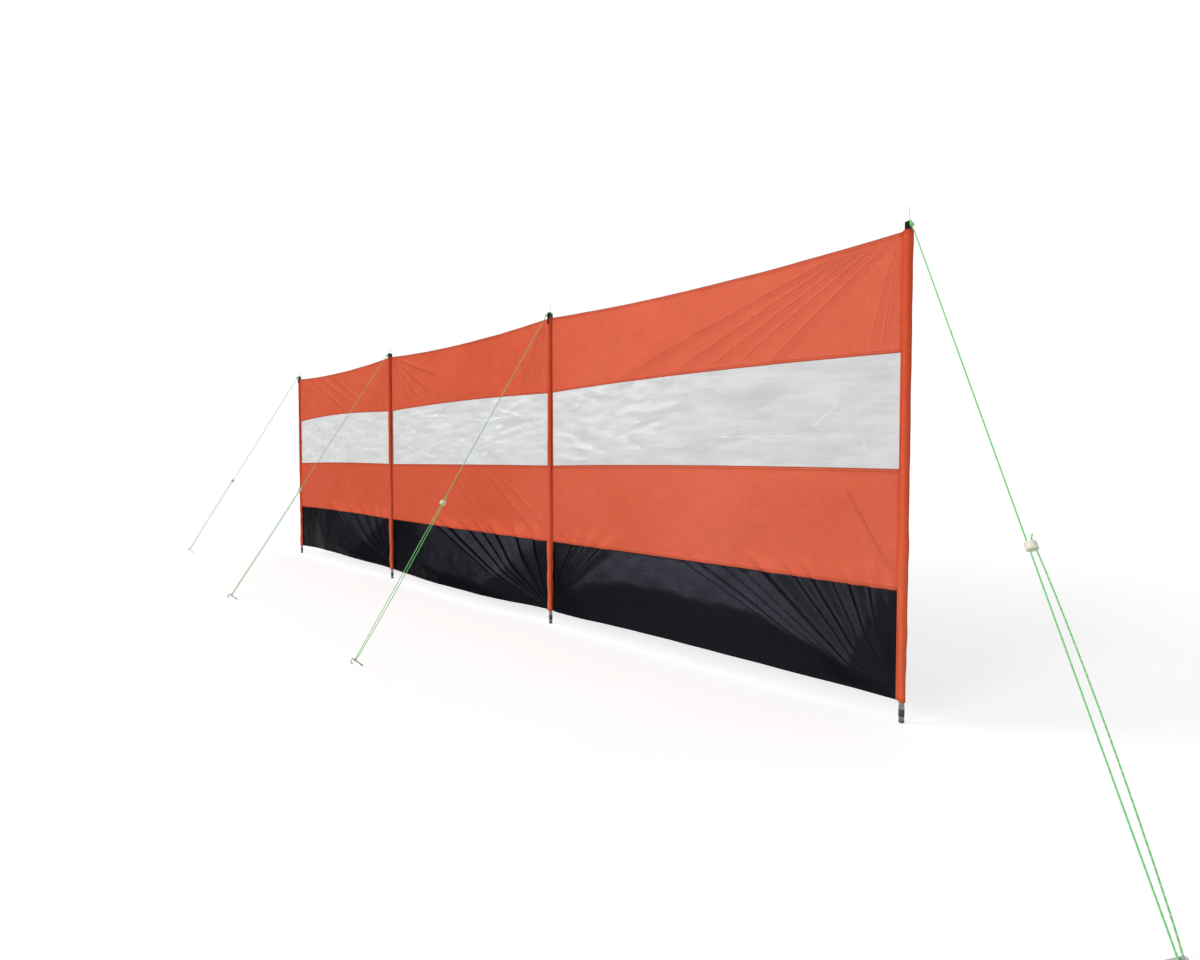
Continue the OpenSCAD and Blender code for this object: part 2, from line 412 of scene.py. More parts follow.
def build_fold_line():
    """Crisp line along a fold, from the distance to it and how strong it is there."""
    sockets = {"Fold gap": 1.0, "Fold mark": 0.0, "Width": 0.003}
    tree, given, result = new_group("Fold line", sockets, ["Line", "Height"])
    share = sum_of(tree, "DIVIDE", given["Fold gap"], given["Width"])
    square = times(tree, share, share)
    line = sum_of(tree, "EXPONENT", times(tree, square, -1.0))
    marked = times(tree, line, given["Fold mark"])
    give_out(tree, result, Line=marked, Height=times(tree, marked, share))
    return tree


def build_pleats():
    """Height of pleats that are too fine for the mesh, from their number and size."""
    sockets = {"Order": 0.0, "Size": 0.0, "Steep": 0.25}
    tree, given, result = new_group("Pleats", sockets, ["Height"])
    part = sum_of(tree, "FRACT", given["Order"])
    rising = sum_of(tree, "DIVIDE", part, given["Steep"])
    left = sum_of(tree, "SUBTRACT", 1.0, part)
    falling = sum_of(tree, "DIVIDE", left, sum_of(tree, "SUBTRACT", 1.0, given["Steep"]))
    tooth = sum_of(tree, "MINIMUM", rising, falling)
    give_out(tree, result, Height=times(tree, tooth, given["Size"]))
    return tree


weave = build_weave()
stitch_row = build_stitch_row()
fold_line = build_fold_line()
pleats = build_pleats()

THREAD_SPACING = 0.0009
THREAD_HEIGHT = 0.00006
FOLD_WIDTH = 0.0028
FOLD_HEIGHT = 0.0012
STITCH_HEIGHT = 0.0004
CRINKLE_HEIGHT = 0.0016
# Distances of the two rows of stitches from an edge, and how far the hem reaches in
FIRST_ROW = 0.003
SECOND_ROW = 0.0095
HEM_WIDTH = 0.0118
# Share of a pleat that is its steep side
PLEAT_STEEP = 0.30
# Between these places the cloth is painted paler, as painted light: the whitish sheen that the light
# lays on the last bay
PAINTED_LIGHT_FROM = 2.8
PAINTED_LIGHT_TO = 3.9
# Heights between which the brighter colour painted low down, as painted light, fades out
PAINTED_LIGHT_FADE_START = 0.35
PAINTED_LIGHT_FADE_END = 0.95


def sheet_value(tree, name):
    return place(tree, "ShaderNodeAttribute", attribute_name=name).outputs["Fac"]


def run_of(tree):
    """Across and along outputs of the material's run."""
    parts = parts_of(tree, place(tree, "ShaderNodeUVMap", uv_map="Run").outputs[0])
    return parts["X"], parts["Y"]


def stitches_of(tree, across, along, edge_gap):
    """Mask of the stitches: two rows along each hem and one beside each sleeve."""
    side_gap = sheet_value(tree, "side_gap")
    rows = [
        use_group(tree, stitch_row, {"Edge gap": gap, "Along": run, "Row": row})["Mask"]
        for gap, run, row in (
            (edge_gap, across, FIRST_ROW), (edge_gap, across, SECOND_ROW), (side_gap, along, FIRST_ROW))
    ]
    return sum_of(tree, "MAXIMUM", sum_of(tree, "MAXIMUM", rows[0], rows[1]), rows[2])


def dye_and_painted_light(tree, position, deep, bright, painted_light_low):
    """Uneven dye between two colours, with painted light: paler towards the last bay,
    and a brighter colour painted low down if painted_light_low is given."""
    patchy = ranged(tree, noise(tree, position, 0.5, 3), 0.3, 0.7, 0, 0.4)
    spot = parts_of(tree, position)
    # Painted light: the cloth is painted paler towards the last bay.
    painted_light = ranged(tree, spot["X"], PAINTED_LIGHT_FROM, PAINTED_LIGHT_TO, 0, 0.6)
    colour = blend(tree, sum_of(tree, "ADD", patchy, painted_light), deep, bright)
    if not painted_light_low:
        return colour
    # Painted light: a brighter colour low down, for light falling on the lower part of the sleeves.
    return blend(tree, ranged(tree, spot["Z"], PAINTED_LIGHT_FADE_START, PAINTED_LIGHT_FADE_END, 1, 0), colour, painted_light_low)


def face_height(tree, position, crinkle, threads, folds, stitches):
    """Height of the cloth's face, in metres: soft crinkles, threads, folds, stitches,
    and the pleats that are too fine for the mesh."""
    relief = times(tree, noise(tree, position, crinkle, 4, 0.55), CRINKLE_HEIGHT)
    layers = (
        (threads["Height"], THREAD_HEIGHT), (folds["Height"], FOLD_HEIGHT), (stitches, STITCH_HEIGHT),
    )
    for layer, height in layers:
        relief = sum_of(tree, "MULTIPLY_ADD", layer, height, relief)
    fine_pleats = use_group(tree, pleats, {
        "Order": sheet_value(tree, "pleat_order"), "Size": sheet_value(tree, "pleat_size"),
        "Steep": PLEAT_STEEP,
    })
    return sum_of(tree, "ADD", fine_pleats["Height"], relief)


def cloth(name, deep, bright, thread, roughness, satin, crinkle, crease_painted_shade, rim_shine=0.5,
          painted_light_low=None):
    """Coated cloth: weave, uneven dye with painted light on it, hems, two stitch rows,
    and painted shade: fold lines darker than the cloth by crease_painted_shade, and a
    darker hem and edge. Its filaments shine in the cloth's own colour: satin says how
    much, and rim_shine how much where it is seen edge on."""
    material, tree, shader = new_material(name, {
        "Specular IOR Level": 0.005, "Specular Tint": (rim_shine, rim_shine, rim_shine, 1),
        "Metallic": satin,
    })
    across, along = run_of(tree)
    position = object_place(tree)
    threads = use_group(tree, weave, {"Across": across, "Along": along, "Thread": THREAD_SPACING})
    folds = use_group(tree, fold_line, {
        "Fold gap": sheet_value(tree, "fold_gap"), "Fold mark": sheet_value(tree, "fold_mark"),
        "Width": FOLD_WIDTH,
    })
    edge_gap = sheet_value(tree, "edge_gap")
    stitches = stitches_of(tree, across, along, edge_gap)
    slub = ranged(tree, threads["Slub"], 0.35, 0.65, 0.93, 1.07)
    threaded = place(tree, "ShaderNodeCombineColor", {0: slub, 1: slub, 2: slub}).outputs[0]
    colour = blend(tree, 1.0, dye_and_painted_light(tree, position, deep, bright, painted_light_low), threaded, "MULTIPLY")
    # Painted shade over the hem, where the doubled cloth lets less light through, and a thin line of
    # painted shade along the very edge.
    hem = ranged(tree, edge_gap, HEM_WIDTH, HEM_WIDTH + 0.001, 1, 0)
    edge_painted_shade = ranged(tree, edge_gap, 0.0008, 0.0032, 1, 0)
    # Painted shade: a darker copy of the cloth's colour, laid over the fold lines, the hem and the very
    # edge.
    dark = tuple(c * 0.45 for c in deep)
    for mask, shade in ((folds["Line"], crease_painted_shade), (hem, 0.10), (edge_painted_shade, 0.55)):
        colour = blend(tree, times(tree, mask, shade), colour, dark)
    plug(tree, blend(tree, stitches, colour, thread), shader, "Base Color")
    worn = noise(tree, position, 0.08, 4, 0.6)
    plug(tree, ranged(tree, worn, 0.3, 0.7, roughness - 0.06, roughness + 0.06), shader, "Roughness")
    height = face_height(tree, position, crinkle, threads, folds, stitches)
    bump(tree, shader, height, 1.0, 1.0)
    return material


# Sleeve cloth, with a brighter colour painted low down on it as painted light.
sleeve_red = cloth(
    "sleeve_red", (0.57, 0.068, 0.026), (0.68, 0.100, 0.044), (0.30, 0.03, 0.012),
    roughness=0.58, satin=0.18, crinkle=0.035, crease_painted_shade=0.3, painted_light_low=(0.74, 0.135, 0.058))


def waves(x, z, length, seed, count=14):
    """Gentle random ripple between -1 and 1 or so, with waves about as long as length."""
    rng = np.random.default_rng(seed)
    angle = rng.uniform(0, 2 * math.pi, count)
    number = 2 * math.pi / (length * rng.uniform(0.7, 1.6, count))
    phase = rng.uniform(0, 2 * math.pi, count)
    total = np.zeros(np.broadcast(x, z).shape)
    for k in range(count):
        distance = x * math.cos(angle[k]) + z * math.sin(angle[k])
        total = total + np.sin(distance * number[k] + phase[k])
    return total * math.sqrt(2 / count) / 2


def soft_step(low, high, value):
    share = np.clip((value - low) / (high - low), 0, 1)
    return share * share * (3 - 2 * share)


def point_values(made, name, values):
    layer = made.data.attributes.new(name, "FLOAT", "POINT")
    layer.data.foreach_set("value", np.asarray(values, np.float32).ravel())


def sleeve_outline(left, right):
    """Closed outline of a sleeve's outside, as arrays of x, y and angle, with a flat
    seam on the sides that have one. It starts at the middle of the front."""
    side_angle = math.asin(SEAM_HALF / sleeve_r)
    outline = []
    for side, has_seam in ((1, right), (-1, left)):
        begin, end = (-math.pi / 2, 0) if side == 1 else (math.pi / 2, math.pi)
        gap = side_angle if has_seam else 0
        for angle in np.linspace(begin, end - gap, SLEEVE_POINTS):
            outline.append((sleeve_r * math.cos(angle), sleeve_r * math.sin(angle), 1.0))
        if has_seam:
            flat = np.linspace(sleeve_r, seam_reach, SEAM_POINTS)[1:]
            low = -SEAM_HALF * side
            outline += [(side * x, low, 0.0) for x in flat]
            outline += [(side * x, -low, 0.0) for x in flat[::-1]]
        skip = 0 if has_seam else 1
        for angle in np.linspace(end + gap, end + math.pi / 2, SLEEVE_POINTS)[skip:-1]:
            outline.append((sleeve_r * math.cos(angle), sleeve_r * math.sin(angle), 1.0))
    return np.array(outline)


def sleeve_outside(i, outline, angle, z):
    """X and Y of the outside of sleeve i at each level, wrinkled where it is slack."""
    slack = 1 - soft_step(0.15, 0.75, z)
    loose = outline[:, 2] * soft_step(0.0, 0.35, np.abs(np.sin(angle)))
    wrinkle = TIGHT_WRINKLE + SLACK_WRINKLE * slack
    pulled = waves(angle * 0.012, z * 0.45, 0.05, 40 + i) * wrinkle
    twist = np.sin(angle * 2 + z * 9 + i) * SLACK_WRINKLE * slack
    room = np.interp(z, (sleeve_low, sleeve_high), SLEEVE_ROOM[i][::-1])
    swell = loose * (pulled + twist + room - TIGHT_WRINKLE)
    reach = 1 + np.maximum(swell, -TIGHTEST) / sleeve_r
    return pole_x[i] + outline[:, 0] * reach, outline[:, 1] * reach


def sleeve_faces(rows, columns):
    """Faces of a tube with a wall: its outside, its bore, its foot and its head."""
    corner = np.arange(columns)
    following = (corner + 1) % columns
    inside = rows * columns
    last = (rows - 1) * columns
    return np.concatenate([
        grid_faces(rows, columns, closed_columns=True),
        grid_faces(rows, columns, closed_columns=True, first=inside, flip=True),
        np.stack([corner, inside + corner, inside + following, following], axis=-1),
        last + np.stack([corner, following, inside + following, inside + corner], axis=-1),
    ])


for i in range(POLES):
    outline = sleeve_outline(i > 0, i < POLES - 1)
    angle = np.arctan2(outline[:, 1], outline[:, 0])
    level_count = round((sleeve_high - sleeve_low) / SLEEVE_STEP) + 1
    levels = np.linspace(sleeve_low, sleeve_high, level_count)
    z = levels[:, None]
    x, y = sleeve_outside(i, outline, angle, z)
    bore = pole_r + SLEEVE_LIFT
    sides = [
        np.stack(np.broadcast_arrays(side_x, side_y, z), axis=-1).reshape(-1, 3)
        for side_x, side_y in ((x, y), (pole_x[i] + bore * np.cos(angle), bore * np.sin(angle)))
    ]
    rows, columns = x.shape
    faces = sleeve_faces(rows, columns)
    sleeve = make_mesh(f"sleeve_cloth_{i + 1}", np.concatenate(sides), faces, sleeve_red, smooth=60)
    around = distance_along(outline[:, :2])
    whole_round = around[-1] + math.dist(outline[-1, :2], outline[0, :2])
    run_round = np.append(around, whole_round)[round_column(faces, columns)]
    run_up = levels[(faces % (rows * columns)) // columns]
    run_map(sleeve, np.stack([run_round, run_up], axis=-1))
    flat_part = np.abs(outline[:, 0]) - sleeve_r
    side_gap = np.where(outline[:, 2] < 0.5, np.maximum(flat_part, 0), 1)
    edge_gap = np.minimum(z - sleeve_low, sleeve_high - z)
    for label, values in {"edge_gap": edge_gap, "side_gap": side_gap}.items():
        one_side = np.broadcast_to(values, x.shape).ravel()
        point_values(sleeve, label, np.concatenate([one_side] * 2))
    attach(sleeve, "root")
    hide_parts(f"sleeve_{i + 1}")


# ---- Hang of the cloth -------------------------------------------------------
# Each bay is one panel, sewn up from four sheets and stretched between two poles
# by its four corners, so folds run out of them across the sheets. The wind fills
# the rest a little. Places in it are (distance from its left pole, height).

# Distances from a sleeve where the cloth is held flat, and where it hangs freely
SEWN_FLAT = 0.008
SEWN_REACH = 0.05
FAINT_CREASES = 16

# Long creases: start, end, depth and width
CREASES = {
    1: [
        ((0.15, 1.42), (0.47, 1.20), 0.0040, 0.012), ((0.28, 1.43), (0.93, 1.13), 0.0046, 0.013),
        ((0.43, 1.44), (1.03, 1.19), 0.0040, 0.012), ((0.66, 1.44), (1.24, 1.16), 0.0040, 0.013),
        ((0.44, 0.76), (0.67, 0.42), 0.0024, 0.012), ((0.73, 0.76), (0.93, 0.42), 0.0024, 0.012),
        ((0.98, 0.76), (1.22, 0.42), 0.0026, 0.012), ((1.22, 0.76), (1.43, 0.42), 0.0024, 0.012),
        ((1.40, 0.74), (1.57, 0.48), 0.0028, 0.011), ((0.10, 0.72), (0.24, 0.50), 0.0015, 0.012),
    ],
    2: [
        ((0.77, 0.72), (1.08, 0.43), 0.0026, 0.012), ((1.08, 0.74), (1.54, 0.42), 0.0028, 0.012),
        ((1.28, 0.68), (1.60, 0.47), 0.0028, 0.011), ((0.50, 0.66), (0.74, 0.45), 0.0014, 0.013),
        ((0.93, 0.75), (1.30, 0.44), 0.0018, 0.012),
    ],
    3: [
        ((1.47, 0.71), (1.615, 0.45), 0.0060, 0.017), ((1.28, 0.75), (1.31, 0.60), 0.0016, 0.010),
        ((0.03, 0.475), (0.17, 0.395), 0.0016, 0.009), ((0.05, 0.445), (0.22, 0.385), 0.0016, 0.009),
        ((0.10, 0.47), (0.31, 0.40), 0.0012, 0.010), ((1.36, 0.72), (1.54, 0.44), 0.0012, 0.012),
    ],
}
# Fans of creases from a corner: middle of their starts, distance between starts,
# the ends they run to, depth and width
CORNER_CREASES = {
    1: [((1.62, 1.455), 0.01, [(1.30, 1.13), (1.42, 1.14), (1.52, 1.16)], 0.0022, 0.010)],
    2: [
        (
            (0.03, 1.458), 0.008,
            [(0.14, 1.12), (0.28, 1.14), (0.39, 1.16), (0.52, 1.19), (0.61, 1.29)],
            0.0034, 0.012,
        ),
        (
            (1.62, 1.458), 0.008,
            [(1.395, 1.12), (1.445, 1.13), (1.51, 1.14), (1.56, 1.16)],
            0.0038, 0.011,
        ),
    ],
    3: [
        (
            (1.560, 1.455), 0.03,
            [(0.40, 1.105), (0.72, 1.105), (0.90, 1.105), (1.03, 1.105), (1.18, 1.105)],
            0.0038, 0.013,
        ),
        ((1.633, 1.45), 0.012, [(1.54, 1.12), (1.58, 1.12)], 0.0024, 0.010),
    ],
}
# Pleats of the skirt: the corner they come from, where they meet the seam, and how
# high each one stands for its width
SKIRT_PULLS = {
    1: [((1.64, 0.08), (0.715, 1.035, 1.24, 1.40, 1.53, 1.64), (0.13,) * 6)],
    2: [((1.64, 0.06), (0.57, 0.70, 0.925, 1.06, 1.175, 1.365, 1.51, 1.64), (0.16,) * 8)],
    3: [
        (
            (1.645, 0.065),
            (0.80, 0.88, 0.99, 1.07, 1.16, 1.285, 1.35, 1.42, 1.475, 1.54, 1.60, 1.66),
            (0.05,) * 4 + (0.19,) * 8,
        ),
        ((0.01, 0.065), (0.15, 0.235, 0.33, 0.45), (0.10,) * 4),
    ],
}
# Mesh step that shows the pleats, and the widths in steps where they start to show
# in the mesh and where they are all there
SKIRT_STEP = 0.0052
MESHED_FROM = 4.5
MESHED_FULLY = 9
hem_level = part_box("skirt_1")[0].z
skirt_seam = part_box("middle_band_1")[0].z
window_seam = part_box("middle_band_1")[1].z
top_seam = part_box("top_band_1")[0].z
# The skirt bellies out most along an arch, given as (distance, height)
SKIRT_ARCH = {
    1: [(0.0, 0.17), (0.4, 0.16), (0.8, 0.14), (1.2, 0.11), (1.65, 0.08)],
    2: [(0.0, 0.20), (0.4, 0.17), (0.68, 0.13), (0.98, 0.13), (1.43, 0.08), (1.65, 0.06)],
    3: [(0, 0.10), (0.165, 0.175), (0.35, 0.235), (0.53, 0.262), (0.785, 0.263), (0.97, 0.25),
        (1.17, 0.245), (1.32, 0.21), (1.42, 0.18), (1.54, 0.135), (1.65, 0.09)],
}
# Whether its foot is drawn in as well towards the right pole
FOOT_DRAWN_IN = {1: 0, 2: 0, 3: 1}
# How steeply it leaves the seam, and how rounded the ridge is
BELLY = {1: 0.18, 2: 0.24, 3: 0.28}
BELLY_SOFT = 0.07
# Share of the bay where it is fully open from the left pole
BELLY_START = {1: 0.50, 2: 0.34, 3: 0.20}
# Share of the bay where it starts to close towards the right pole, at hem and seam
BELLY_END = {1: (0.62, 0.92), 2: (0.62, 0.93), 3: (0.89, 0.955)}
# How far the wind fills each bay, and the height over which it does
BILLOW = {1: -0.003, 2: -0.002, 3: 0.007}
BILLOW_HEIGHT = 1.4
# Slow rolls of the whole bay, as height and length
ROLL = (0.0022, 0.32)
SMALL_ROLL = (0.0007, 0.11)
# Puckers along the seams and beside the sleeves: height, length and reach
SEAM_PUCKER = (0.0006, 0.026, 0.014)
SIDE_PUCKER = (0.0012, 0.03, 0.03)


class Hang:
    """Depth of the cloth at a grid of places, and the nearest fold line to each."""

    def __init__(self, along, height):
        self.along = along
        self.height = height
        self.depth = np.zeros(along.shape)
        self.gap = np.ones(along.shape)
        self.mark = np.zeros(along.shape)
        self.order = np.zeros(along.shape)
        self.size = np.zeros(along.shape)

    def crease(self, start, end, depth, width, bend=0.0, root=0.4, marked=True):
        """One-sided pleat from start to end. It is narrow at its start and fades at its end."""
        reach_x, reach_z = end[0] - start[0], end[1] - start[1]
        length = math.hypot(reach_x, reach_z)
        from_x, from_z = self.along - start[0], self.height - start[1]
        share = (from_x * reach_x + from_z * reach_z) / length**2
        gap = (from_x * reach_z - from_z * reach_x) / length
        gap = gap - bend * 4 * share * (1 - share)
        held = soft_step(-0.03, 0.14, share) * (1 - soft_step(0.8, 1.05, share))
        wide = width * (root + (1 - root) * np.clip(share, 0, 1))
        side = np.where(gap > 0, wide * 0.6, wide * 1.7)
        self.depth -= depth * held * np.exp(-((gap / side) ** 2))
        if not marked:
            return
        nearer = np.abs(gap) < np.abs(self.gap)
        near = 1 - soft_step(0.006, 0.0095, np.abs(gap))
        strength = held * near * min(1.0, depth / 0.004)
        self.mark = np.where(nearer, strength, self.mark)
        self.gap = np.where(nearer, gap, self.gap)

    def pull(self, apex, ends, heights, seam):
        """Pleats from a low corner to the seam, each steep on its left. Where they lie
        too close together for the mesh, their relief is left to the material."""
        rise = self.height - apex[1]
        way = self.along - apex[0]
        share = rise / (seam - apex[1])
        foot = apex[0] + way / np.maximum(share, 0.02)
        order = np.interp(foot, ends, np.arange(len(ends), dtype=float))
        pleat = np.minimum(order, len(ends) - 1.001).astype(int)
        sizes = np.random.default_rng(len(ends)).uniform(0.65, 1.15, len(ends))
        fade = soft_step(0.02, 0.10, share) * (1 - soft_step(1.0, 1.25, share))
        spacing = np.diff(ends)[np.minimum(pleat, len(ends) - 2)]
        apart = spacing * rise**2 / ((seam - apex[1]) * np.maximum(np.hypot(way, rise), 1e-4))
        size = np.array(heights)[pleat] * apart * sizes[pleat] * fade
        meshed = soft_step(MESHED_FROM * SKIRT_STEP, MESHED_FULLY * SKIRT_STEP, apart)
        part = order - np.floor(order)
        tooth = np.minimum(part / PLEAT_STEEP, (1 - part) / (1 - PLEAT_STEEP))
        rounded = 0.55 * tooth + 0.45 * soft_step(0, 1, tooth)
        self.depth -= size * meshed * rounded
        inside = (foot > ends[0]) & (foot < ends[-1]) & (share > 0.02)
        near = np.abs(way) < np.abs(np.array(ends) - apex[0]).max() + 0.1
        self.order = np.where(near, order, self.order)
        self.size = np.where(inside, size * (1 - meshed), self.size)


def belly(bay, along, z):
    """How far the wind blows the skirt out below its seam, towards the front. It
    swells from the seam down to the arch and falls back from there to the hem."""
    reach, level = np.array(SKIRT_ARCH[bay]).T
    share = along / bay_length
    ragged = 0.006 * waves(along, along * 0, 0.30, 60 + bay)
    ragged += 0.0015 * waves(along, along * 0, 0.05, 63 + bay)
    ridge = np.interp(along, reach, level) + ragged
    above = np.clip((skirt_seam - z) / (skirt_seam - ridge), 0, None)
    drawn_in = soft_step(0.55, 0.95, share) * FOOT_DRAWN_IN[bay]
    foot = ridge - hem_level + 0.05 * (1 - drawn_in)
    below = 1 - (0.6 + 0.4 * drawn_in) * (ridge - z) / foot
    crest = -BELLY_SOFT * np.log(np.exp(-above / BELLY_SOFT) + np.exp(-below / BELLY_SOFT))
    open_left = soft_step(-0.05, BELLY_START[bay], share) * soft_step(0, 0.02, share)
    raised = (z - hem_level) / (skirt_seam - hem_level)
    end_low, end_high = BELLY_END[bay]
    open_right = 1 - soft_step(end_low + (end_high - end_low) * raised, 1.0, share)
    bulge = BELLY[bay] * (skirt_seam - ridge) * np.maximum(crest, 0)
    return open_left * open_right * np.where(z > skirt_seam, 0, bulge)


def crease_panel(lie, bay):
    """Lays a bay's creases and pleats into its hang, and faint creases among them."""
    for start, end, depth, width in CREASES[bay]:
        lie.crease(start, end, depth, width)
    for middle, spacing, ends, depth, width in CORNER_CREASES[bay]:
        for k, end in enumerate(ends):
            start = (middle[0] + (k - (len(ends) - 1) / 2) * spacing, middle[1])
            lie.crease(start, end, depth, width, bend=0.006, root=0.25)
    for apex, ends, heights in SKIRT_PULLS[bay]:
        lie.pull(apex, ends, heights, skirt_seam)
    lines = CREASES[bay]
    rng = np.random.default_rng(200 + bay)
    for _ in range(FAINT_CREASES):
        start, end = lines[rng.integers(len(lines))][:2]
        shift = rng.uniform(-0.35, 0.35), rng.uniform(-0.05, 0.05)
        size = rng.uniform(0.4, 0.9)
        begin = start[0] + shift[0], start[1] + shift[1]
        finish = begin[0] + (end[0] - start[0]) * size, begin[1] + (end[1] - start[1]) * size
        depth = rng.uniform(0.0006, 0.0014)
        lie.crease(begin, finish, depth, rng.uniform(0.008, 0.012), marked=False)


def puckers(bay, along, z):
    """Small waves along the seams and beside the sleeves, where the stitches pull."""
    height, length, reach = SEAM_PUCKER
    total = np.zeros(along.shape)
    for k, seam in enumerate((skirt_seam, window_seam, top_seam)):
        near = np.exp(-((z - seam) / reach) ** 2)
        total += near * height * waves(along, along * 0, length, 30 + 4 * bay + k)
    height, length, reach = SIDE_PUCKER
    near = np.exp(-np.minimum(along, bay_length - along) / reach)
    return total + near * height * waves(z, z * 0, length, 70 + bay)


def hang_of(bay, x, z):
    """How a bay's panel lies at a grid of places: depth towards +Y, and what its
    material has to know of the folds."""
    along = x - pole_x[bay - 1]
    lie = Hang(along, z)
    crease_panel(lie, bay)
    share = along / bay_length
    open_part = np.clip(4 * share * (1 - share), 0, 1)
    raised = np.clip((z - hem_level) / BILLOW_HEIGHT, 0, 1)
    billow = -BILLOW[bay] * open_part * np.sin(raised * math.pi)
    roll = ROLL[0] * waves(along, z, ROLL[1], 10 + bay)
    roll += SMALL_ROLL[0] * waves(along, z, SMALL_ROLL[1], 20 + bay)
    sewn = soft_step(SEWN_FLAT, SEWN_REACH, along)
    sewn *= 1 - soft_step(bay_length - SEWN_REACH, bay_length - SEWN_FLAT, along)
    depth = lie.depth + billow + roll + puckers(bay, along, z) - belly(bay, along, z)
    return depth * sewn, {
        "fold_gap": lie.gap, "fold_mark": lie.mark * sewn,
        "pleat_order": lie.order, "pleat_size": lie.size * sewn,
    }


def edge_height(node, upper, x):
    """Height of a CAD sheet's upper or lower edge at places along it."""
    corners = np.array([v.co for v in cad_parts[node].data.vertices])
    places = np.unique(corners[:, 0].round(5))
    pick = max if upper else min
    heights = [pick(corners[np.abs(corners[:, 0] - place_x) < 2e-5, 2]) for place_x in places]
    return np.interp(x, places, heights)


# How far the hem, the three seams and the top edge bow up between the poles
BOWS = {
    1: (0.012, 0.004, 0.002, 0.016, 0.0),
    2: (-0.012, -0.004, -0.004, 0.006, 0.0),
    3: (0.002, 0.0, 0.002, 0.004, 0.0),
}


def bow(bay, x, z):
    """How far the cloth rises there because its level edges bow."""
    levels = [hem_level, skirt_seam, window_seam, top_seam, sleeve_high]
    share = np.clip((x - pole_x[bay - 1]) / bay_length, 0, 1)
    return np.interp(z, levels, BOWS[bay]) * np.sin(share**0.85 * math.pi)


SHEET_STEP = 0.0068
BAND_STEP = 0.0076
SHEET_HALF = 0.0003
HEM_EXTRA = 0.0004
# Distances from an edge of the first rows of points, which follow the hem
EDGE_STEPS = (0.0, 0.0012, 0.0065, HEM_WIDTH, 0.0130)


def steps_across(length, step, edges):
    """Places from 0 to length: close together in both hems and even between them."""
    middle = length - 2 * edges[-1]
    count = max(2, round(middle / step))
    even = [edges[-1] + middle * k / count for k in range(count + 1)]
    return np.array([*edges[:-1], *even, *[length - edge for edge in reversed(edges[:-1])]])


def make_sheet(name, node, bay, material, hems=(True, True), step=SHEET_STEP, own_lie=None):
    """Closed thin sheet that follows the bay's hang inside a CAD sheet's outline.
    hems says whether the low and the high edge are turned over."""
    low_corner, high_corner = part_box(node)
    centre_y = (low_corner.y + high_corner.y) / 2
    x = low_corner.x + steps_across(high_corner.x - low_corner.x, step, EDGE_STEPS)
    low = edge_height(node, False, x)
    high = edge_height(node, True, x)
    tall = float(np.median(high - low))
    v = steps_across(tall, step, EDGE_STEPS)
    inset = EDGE_STEPS[-1]
    share = np.clip((v - inset) / (tall - 2 * inset), 0, 1)[:, None]
    from_low = np.where(v <= inset + 1e-9, v, inset)[:, None]
    from_high = np.where(v >= tall - inset - 1e-9, tall - v, inset)[:, None]
    z = (low + from_low) * (1 - share) + (high - from_high) * share
    x = np.broadcast_to(x, z.shape)
    depth, told = hang_of(bay, x, z)
    low_gap, high_gap = z - low, high - z
    if own_lie:
        own = own_lie(bay, x, z, np.minimum(low_gap, high_gap))
        depth = depth + own[0]
        told["fold_gap"], told["fold_mark"] = own[1:]
    low_hem = (low_gap < HEM_WIDTH + 1e-6) & hems[0]
    high_hem = (high_gap < HEM_WIDTH + 1e-6) & hems[1]
    half = SHEET_HALF + HEM_EXTRA * (low_hem | high_hem)
    z = z + bow(bay, x, z)
    rows, columns = z.shape
    sides = [
        np.stack([x, centre_y + depth + side * half, z], axis=-1).reshape(-1, 3) for side in (-1, 1)
    ]
    faces = both_sides(rows, columns)
    sheet = make_mesh(name, np.concatenate(sides), faces, material)
    run = np.stack([x - pole_x[bay - 1], z], axis=-1).reshape(-1, 2)
    run_map(sheet, run[faces % (rows * columns)])
    told["side_gap"] = np.minimum(x - x[0, 0], x[0, -1] - x)
    told["edge_gap"] = np.minimum(np.where(hems[0], low_gap, 1), np.where(hems[1], high_gap, 1))
    for label, values in told.items():
        point_values(sheet, label, np.concatenate([values.ravel()] * 2))
    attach(sheet, "root")
    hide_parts(node)
    return sheet


# ---- Skirts ------------------------------------------------------------------
# The lowest sheet of each bay: black coated nylon, a little shiny, that takes
# the mud. Its foot is hemmed and its top edge is sewn behind the middle band.

skirt_black = cloth(
    "skirt_black", (0.0080, 0.0082, 0.0103), (0.0120, 0.0124, 0.0163), (0.02, 0.02, 0.022),
    roughness=0.29, satin=0.90, crinkle=0.03, crease_painted_shade=0.25, rim_shine=0.45)

for bay in range(1, BAYS + 1):
    skirt = make_sheet(
        f"skirt_cloth_{bay}", f"skirt_{bay}", bay, skirt_black, hems=(True, False), step=SKIRT_STEP)


# ---- Middle bands ------------------------------------------------------------
# Orange coated polyester between skirt and window. Both long edges are turned
# in and sewn down over the sheets behind with two rows of stitches.

band_orange = cloth(
    "band_orange", (0.605, 0.095, 0.043), (0.700, 0.143, 0.080), (0.40, 0.05, 0.02),
    roughness=0.58, satin=0.18, crinkle=0.035, crease_painted_shade=0.35)

for bay in range(1, BAYS + 1):
    band = make_sheet(
        f"middle_band_cloth_{bay}", f"middle_band_{bay}", bay, band_orange, step=BAND_STEP)


# ---- Windows -----------------------------------------------------------------
# Soft clear film, milky from use and creased from being rolled up. It is sewn
# behind the bands along both long edges, which hold it flat.

FILM_STEP = 0.0082
FILM_LINE = 0.0022
# Strength of the painted highlight along the glinting creases
PAINTED_GLINT_STRENGTH = 0.9
CRINKLES = 44
CRINKLE_DEPTH = 0.0011
